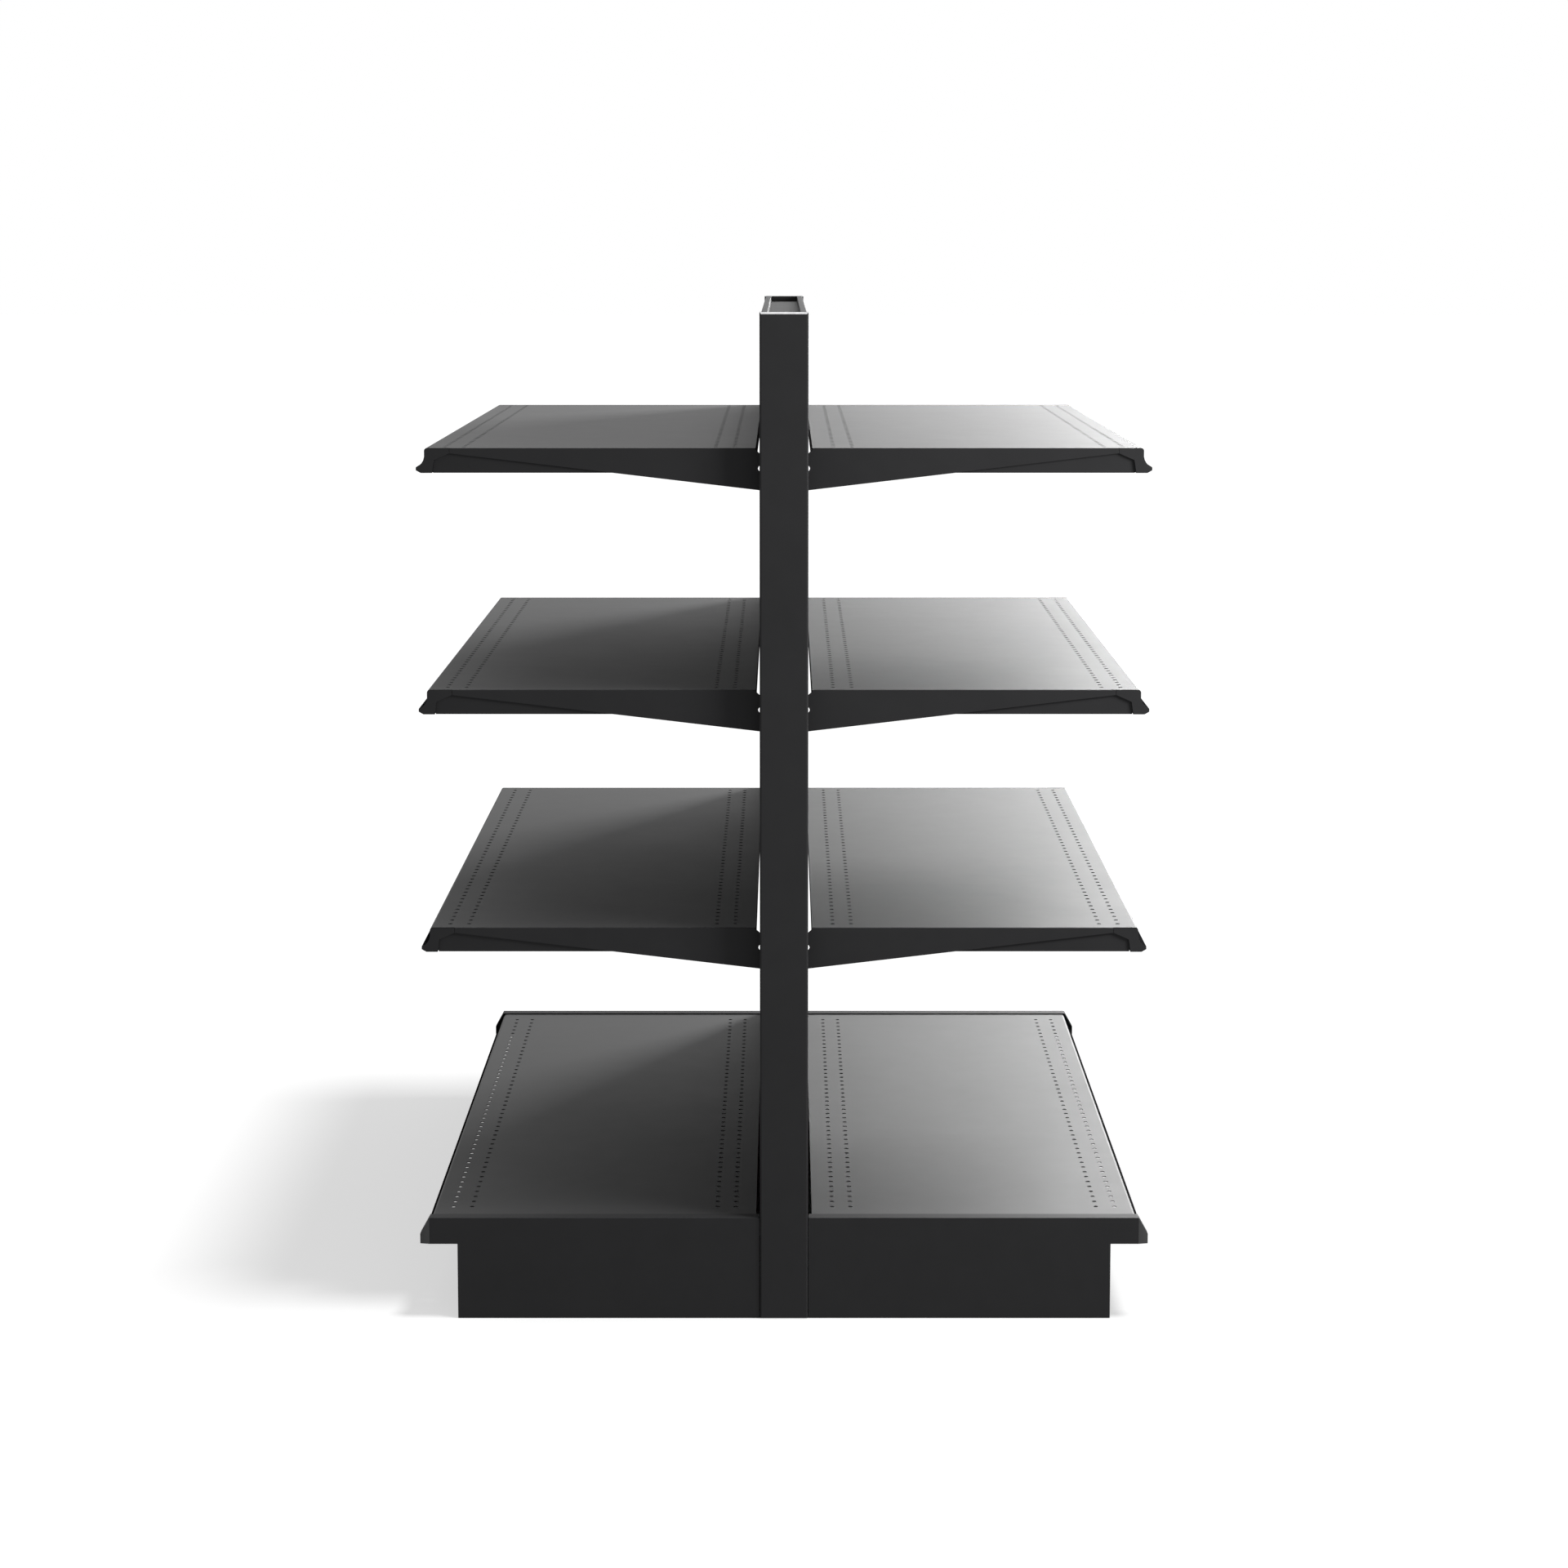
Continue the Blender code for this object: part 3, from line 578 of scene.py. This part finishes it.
def thread_tree():
    """Geometry Nodes tree that winds a ridge round a screw's core."""
    sizes = ("Turns", "Radius", "Height", "Foot", "Ridge")
    group, tree, keys, given = shape_tree("screw_thread", "Core", sizes, ("Steps", "Sides"), "Screw")
    path = tree.node("GeometryNodeCurveSpiral", None, {
        "Resolution": given["Steps"], "Rotations": given["Turns"], "Start Radius": given["Radius"],
        "End Radius": given["Radius"], "Height": given["Height"]})
    untwisted = tree.node("GeometryNodeSetCurveNormal", {"mode": "Z_UP"}, {"Curve": path})
    ridge = tree.node("GeometryNodeCurvePrimitiveCircle", {"mode": "RADIUS"},
                      {"Resolution": given["Sides"], "Radius": given["Ridge"]})
    wound = tree.node("GeometryNodeCurveToMesh", None,
                      {"Curve": untwisted, "Profile Curve": ridge, "Fill Caps": True})
    lift = tree.node("ShaderNodeCombineXYZ", None, {"Z": given["Foot"]})
    seated = tree.node("GeometryNodeTransform", None, {"Geometry": wound, "Translation": lift})
    joined = tree.node("GeometryNodeJoinGeometry", None, {"Geometry": [given["Core"], seated]})
    finish_tree(tree, joined, given["Finish"], "Screw")
    return group, keys


def points_about(node, centre):
    """Points of a CAD node's mesh, as distances from an upright line and heights."""
    points = [vert.co for vert in frame["nodes"][node].data.vertices]
    return [(math.hypot(p.x - centre.x, p.y - centre.y), p.z) for p in points]


def screw_sizes(node):
    """Centre, pad radius, stem radius, foot, pad top and top of a levelling screw, from its CAD mesh."""
    low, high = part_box(node)
    centre = (low + high) / 2
    width = high.x - low.x
    points = points_about(node, centre)
    stem = max(distance for distance, height in points if height > high.z - WELD_DISTANCE)
    pad_top = max(height for distance, height in points if distance > width * PAD_RIM_SHARE)
    return centre, width / 2, stem, low.z, pad_top, high.z


def screw_mesh(node, group, keys):
    """Levelling screw at its place: a rounded pad, a core and a wound thread."""
    centre, pad, stem, foot, pad_top, top = screw_sizes(node)
    core = stem - THREAD_DEPTH
    profile = [(core - THREAD_DEPTH, top), (core, top - THREAD_DEPTH), (core, pad_top),
               (pad - PAD_ROUNDING, pad_top), (pad, pad_top - PAD_ROUNDING), (pad, foot + PAD_ROUNDING),
               (pad - PAD_ROUNDING, foot)]
    piece = linked(f"{node}_core", mesh_of(turned_solid(profile, ROUND_SIDES), f"{node}_core"))
    height = top - pad_top - 2 * THREAD_END_GAP
    turns = math.floor(height / THREAD_PITCH)
    run_tree(piece, group, keys, {
        "Turns": float(turns), "Radius": core, "Height": turns * THREAD_PITCH, "Ridge": THREAD_DEPTH,
        "Foot": pad_top + THREAD_END_GAP, "Steps": THREAD_STEPS, "Sides": THREAD_SIDES,
        "Finish": FINISHES["leveller_zinc"]})
    mesh = settle_shading(plain_mesh(piece, f"{node}_threaded"))
    mesh.transform(Matrix.Translation((centre.x, centre.y, 0)))
    return mesh


def prism(name, sides, radius, depth):
    """Mesh of an upright prism round the origin."""
    shape = bmesh.new()
    bmesh.ops.create_cone(shape, cap_ends=True, segments=sides, radius1=radius, radius2=radius, depth=depth)
    return mesh_of(shape, name)


def nut_mesh(node, shoe):
    """Six-sided nut that sits on the shoe's tab, round the screw."""
    centre, _, stem, _, pad_top, _ = screw_sizes(node)
    near = [height for distance, height in points_about(shoe, centre) if distance < TAB_STEM_RADII * stem]
    seat = max(height for height in near if height > pad_top) + NUT_SEAT_GAP
    corner = NUT_ACROSS_FLATS / math.sqrt(3)
    body = linked("nut_body", prism("nut_body", NUT_SIDES, corner, NUT_HEIGHT))
    cutter = linked("nut_drill", prism("nut_drill", ROUND_SIDES, stem + NUT_CLEARANCE, 2 * NUT_HEIGHT))
    bore = body.modifiers.new("bore", "BOOLEAN")
    bore.operation = "DIFFERENCE"
    bore.object = cutter
    soften(body, PLATE_EDGE)
    mesh = settle_shading(plain_mesh(body, f"{node}_nut"))
    bpy.data.objects.remove(cutter)
    mesh.transform(Matrix.Translation((centre.x, centre.y, seat + NUT_HEIGHT / 2)))
    return mesh


def add_levellers():
    """Threaded levelling screws and the nuts that hold them in the shoes."""
    group, keys = thread_tree()
    for side in SIDES:
        for end in ENDS:
            node = f"leveller_{side}_{end}"
            shoe = f"base_shoe_{side}_{end}"
            dress(f"{node}_threaded", screw_mesh(node, group, keys), node)
            nut = linked(f"leveller_nut_{side}_{end}", nut_mesh(node, shoe))
            nut.data.materials.append(FINISHES["leveller_zinc"])
            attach(nut, BODY_OF[shoe])


# Pieces with the shape of their CAD nodes
def trim_mesh(node):
    """An end trim with soft edges, whose face slants back at its cut upper edge."""
    low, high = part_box(node)
    outwards = 1 if high.y > 0 else -1
    face = high.y if high.y > 0 else low.y
    shape = bmesh.new()
    welded = welded_copy(node)
    shape.from_mesh(welded)
    bpy.data.meshes.remove(welded)
    everything = [*shape.verts, *shape.edges, *shape.faces]
    foot_of_slant = (0, face, high.z - CUT_EDGE_HEIGHT)
    slant = (0, outwards * CUT_EDGE_HEIGHT, CUT_EDGE_DEPTH)
    bmesh.ops.bisect_plane(shape, geom=everything, plane_co=foot_of_slant, plane_no=slant, clear_outer=True)
    rim = [edge for edge in shape.edges if edge.is_boundary]
    bmesh.ops.holes_fill(shape, edges=rim, sides=0)
    bmesh.ops.recalc_face_normals(shape, faces=shape.faces)
    piece = linked(f"{node}_soft", mesh_of(shape, f"{node}_cut"))
    soften(piece, TRIM_EDGE)
    return settle_shading(plain_mesh(piece, f"{node}_finish"))


def add_shelf_parts():
    """Mouldings and brackets of the shelves, and the base mouldings."""
    for side in SIDES:
        second_coat(dress_node(f"base_moulding_{side}", SHEET_EDGE), FINISHES["bracket_coat"], on_end)
        for level in LEVELS:
            moulding = dress_node(f"shelf_{side}_{level}_moulding", SHEET_EDGE)
            second_coat(moulding, FINISHES["bracket_coat"], on_end)
            for end in ENDS:
                dress_node(f"shelf_{side}_{level}_bracket_{end}", PLATE_EDGE)


def add_frame_parts():
    """Trims, top rail, base covers, kick plates, back panels and their rails."""
    dress_node("top_rail", TRIM_EDGE)
    for end in ENDS:
        trim = dress(f"end_trim_{end}_finish", trim_mesh(f"end_trim_{end}"), f"end_trim_{end}")
        second_coat(trim, CUT_EDGE_FINISH, on_cut_edge)
    for side in SIDES:
        dress_node(f"kick_plate_{side}", SHEET_EDGE)
        dress_node(f"bottom_rail_{side}", SHEET_EDGE)
        dress_node(f"centre_rail_{side}", SHEET_EDGE)
        for height in ("lower", "upper"):
            dress_node(f"back_panel_{side}_{height}", BOARD_EDGE)
        for end in ENDS:
            # The noses' turned faces get a lighter grey, a painted highlight
            second_coat(dress_node(f"base_end_cover_{side}_{end}", COVER_EDGE), NOSE_HIGHLIGHT_FINISH, on_nose)


def coat_nodes():
    """Gives the CAD nodes their finishes, in which those that no piece replaces are seen."""
    for node, piece in frame["nodes"].items():
        piece.data.materials.clear()
        piece.data.materials.append(FINISHES[SLOT_OF[node]])


# Studio
def seen_directly(tree):
    """1 for rays that show the set itself: from the camera, and mirrored or passing through."""
    rays = {name: tree.node("ShaderNodeLightPath", output=name)
            for name in ("Is Camera Ray", "Is Glossy Ray", "Is Transmission Ray")}
    total = rays["Is Camera Ray"] + rays["Is Glossy Ray"] + rays["Is Transmission Ray"]
    return tree.node("ShaderNodeClamp", None, {"Value": total})


def glow_off_under_base(tree):
    """0 on the floor that the base encloses, 1 elsewhere: the floor's glow is left off under the base,
    which paints shade there.
    """
    place = tree.node("ShaderNodeTexCoord", output="Object")
    reach = tree.node("ShaderNodeVectorMath", {"operation": "ABSOLUTE"}, {0: place})
    half = {"X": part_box("kick_plate_right")[1].x, "Y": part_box("base_end_cover_right_far")[1].y}
    within = []
    for axis, limit in half.items():
        part = tree.node("ShaderNodeSeparateXYZ", None, {0: reach}, axis)
        within.append(tree.node("ShaderNodeMath", {"operation": "LESS_THAN"}, {0: part, 1: limit}))
    return 1 - within[0] * within[1]


def add_floor():
    """Plain white floor that keeps the shadow, with painted shade under the base."""
    shape = bmesh.new()
    bmesh.ops.create_grid(shape, x_segments=1, y_segments=1, size=FLOOR_HALF)
    floor = linked("floor", mesh_of(shape, "floor"))
    material = bpy.data.materials.new("floor_white")
    material.use_nodes = True
    tree = Tree(material.node_tree)
    matt = tree.node("ShaderNodeBsdfDiffuse", None, {"Color": (FLOOR_WHITE, FLOOR_WHITE, FLOOR_WHITE, 1.0)})
    # The glow stops at the base's outline: painted shade on the floor under the base
    glowing = seen_directly(tree) * glow_off_under_base(tree)
    glow = tree.node("ShaderNodeEmission", None, {"Color": glowing, "Strength": FLOOR_GLOW})
    both = tree.node("ShaderNodeAddShader", None, {0: matt, 1: glow})
    tree.node("ShaderNodeOutputMaterial", None, {"Surface": both})
    floor.data.materials.append(material)
    return floor


def add_world():
    """White where it is seen, softer where it lights."""
    world = bpy.data.worlds.new("studio")
    world.use_nodes = True
    tree = Tree(world.node_tree)
    seen = seen_directly(tree)
    sky = tree.node("ShaderNodeBackground", None, {
        "Color": (1.0, 1.0, 1.0, 1.0), "Strength": AMBIENT + seen * (1 - AMBIENT)})
    tree.node("ShaderNodeOutputWorld", None, {"Surface": sky})
    bpy.context.scene.world = world


def hang(name, lamp, place, aim):
    """Hangs a lamp at a place, turned to what it lights."""
    holder = bpy.data.objects.new(name, lamp)
    holder.location = place
    holder.rotation_euler = (Vector(aim) - Vector(place)).to_track_quat("-Z", "Y").to_euler()
    holder.visible_camera = False
    bpy.context.scene.collection.objects.link(holder)
    return holder


def receivers(name, pieces, link_state):
    """Collection of the pieces that a lamp lights alone, or leaves out."""
    group = bpy.data.collections.new(name)
    for piece in pieces:
        group.objects.link(piece)
    for row in group.collection_objects:
        row.light_linking.link_state = link_state
    return group


def add_lamps(floor, left_tops):
    """One steep light for the shadow on the floor, and soft boxes that light the shelving alone."""
    steep = bpy.data.lights.new("steep_light", "SUN")
    steep.energy = STEEP_LIGHT_STRENGTH
    steep.angle = STEEP_LIGHT_ANGLE
    hang("steep_light", steep, STEEP_LIGHT_FROM, (0, 0, 0))
    all_but_floor = receivers("all_but_floor", [floor], "EXCLUDE")
    lit = {"rear_box": receivers("all_but_left_tops", [floor, *left_tops], "EXCLUDE"),
           "left_tops_box": receivers("left_tops", left_tops, "INCLUDE")}
    for name, place, size, power in SOFT_BOXES:
        box = bpy.data.lights.new(name, "AREA")
        box.shape = "SQUARE"
        box.size = size
        box.energy = power
        hang(name, box, place, BOX_AIM).light_linking.receiver_collection = lit.get(name, all_but_floor)


def add_camera():
    """Camera at the photograph's viewing angle."""
    lens = bpy.data.cameras.new("camera")
    lens.lens = CAMERA_LENS
    lens.sensor_width = CAMERA_SENSOR
    lens.shift_y = CAMERA_SHIFT
    camera = bpy.data.objects.new("camera", lens)
    camera.location = CAMERA_PLACE
    camera.rotation_euler = (math.pi / 2 - CAMERA_TILT, 0, 0)
    bpy.context.scene.collection.objects.link(camera)
    bpy.context.scene.camera = camera


add_camera()
tops = add_tops()
add_shelf_parts()
add_frame_parts()
add_levellers()
coat_nodes()
add_lamps(add_floor(), tops["left"])
add_world()
bpy.context.scene.view_settings.view_transform = "Standard"
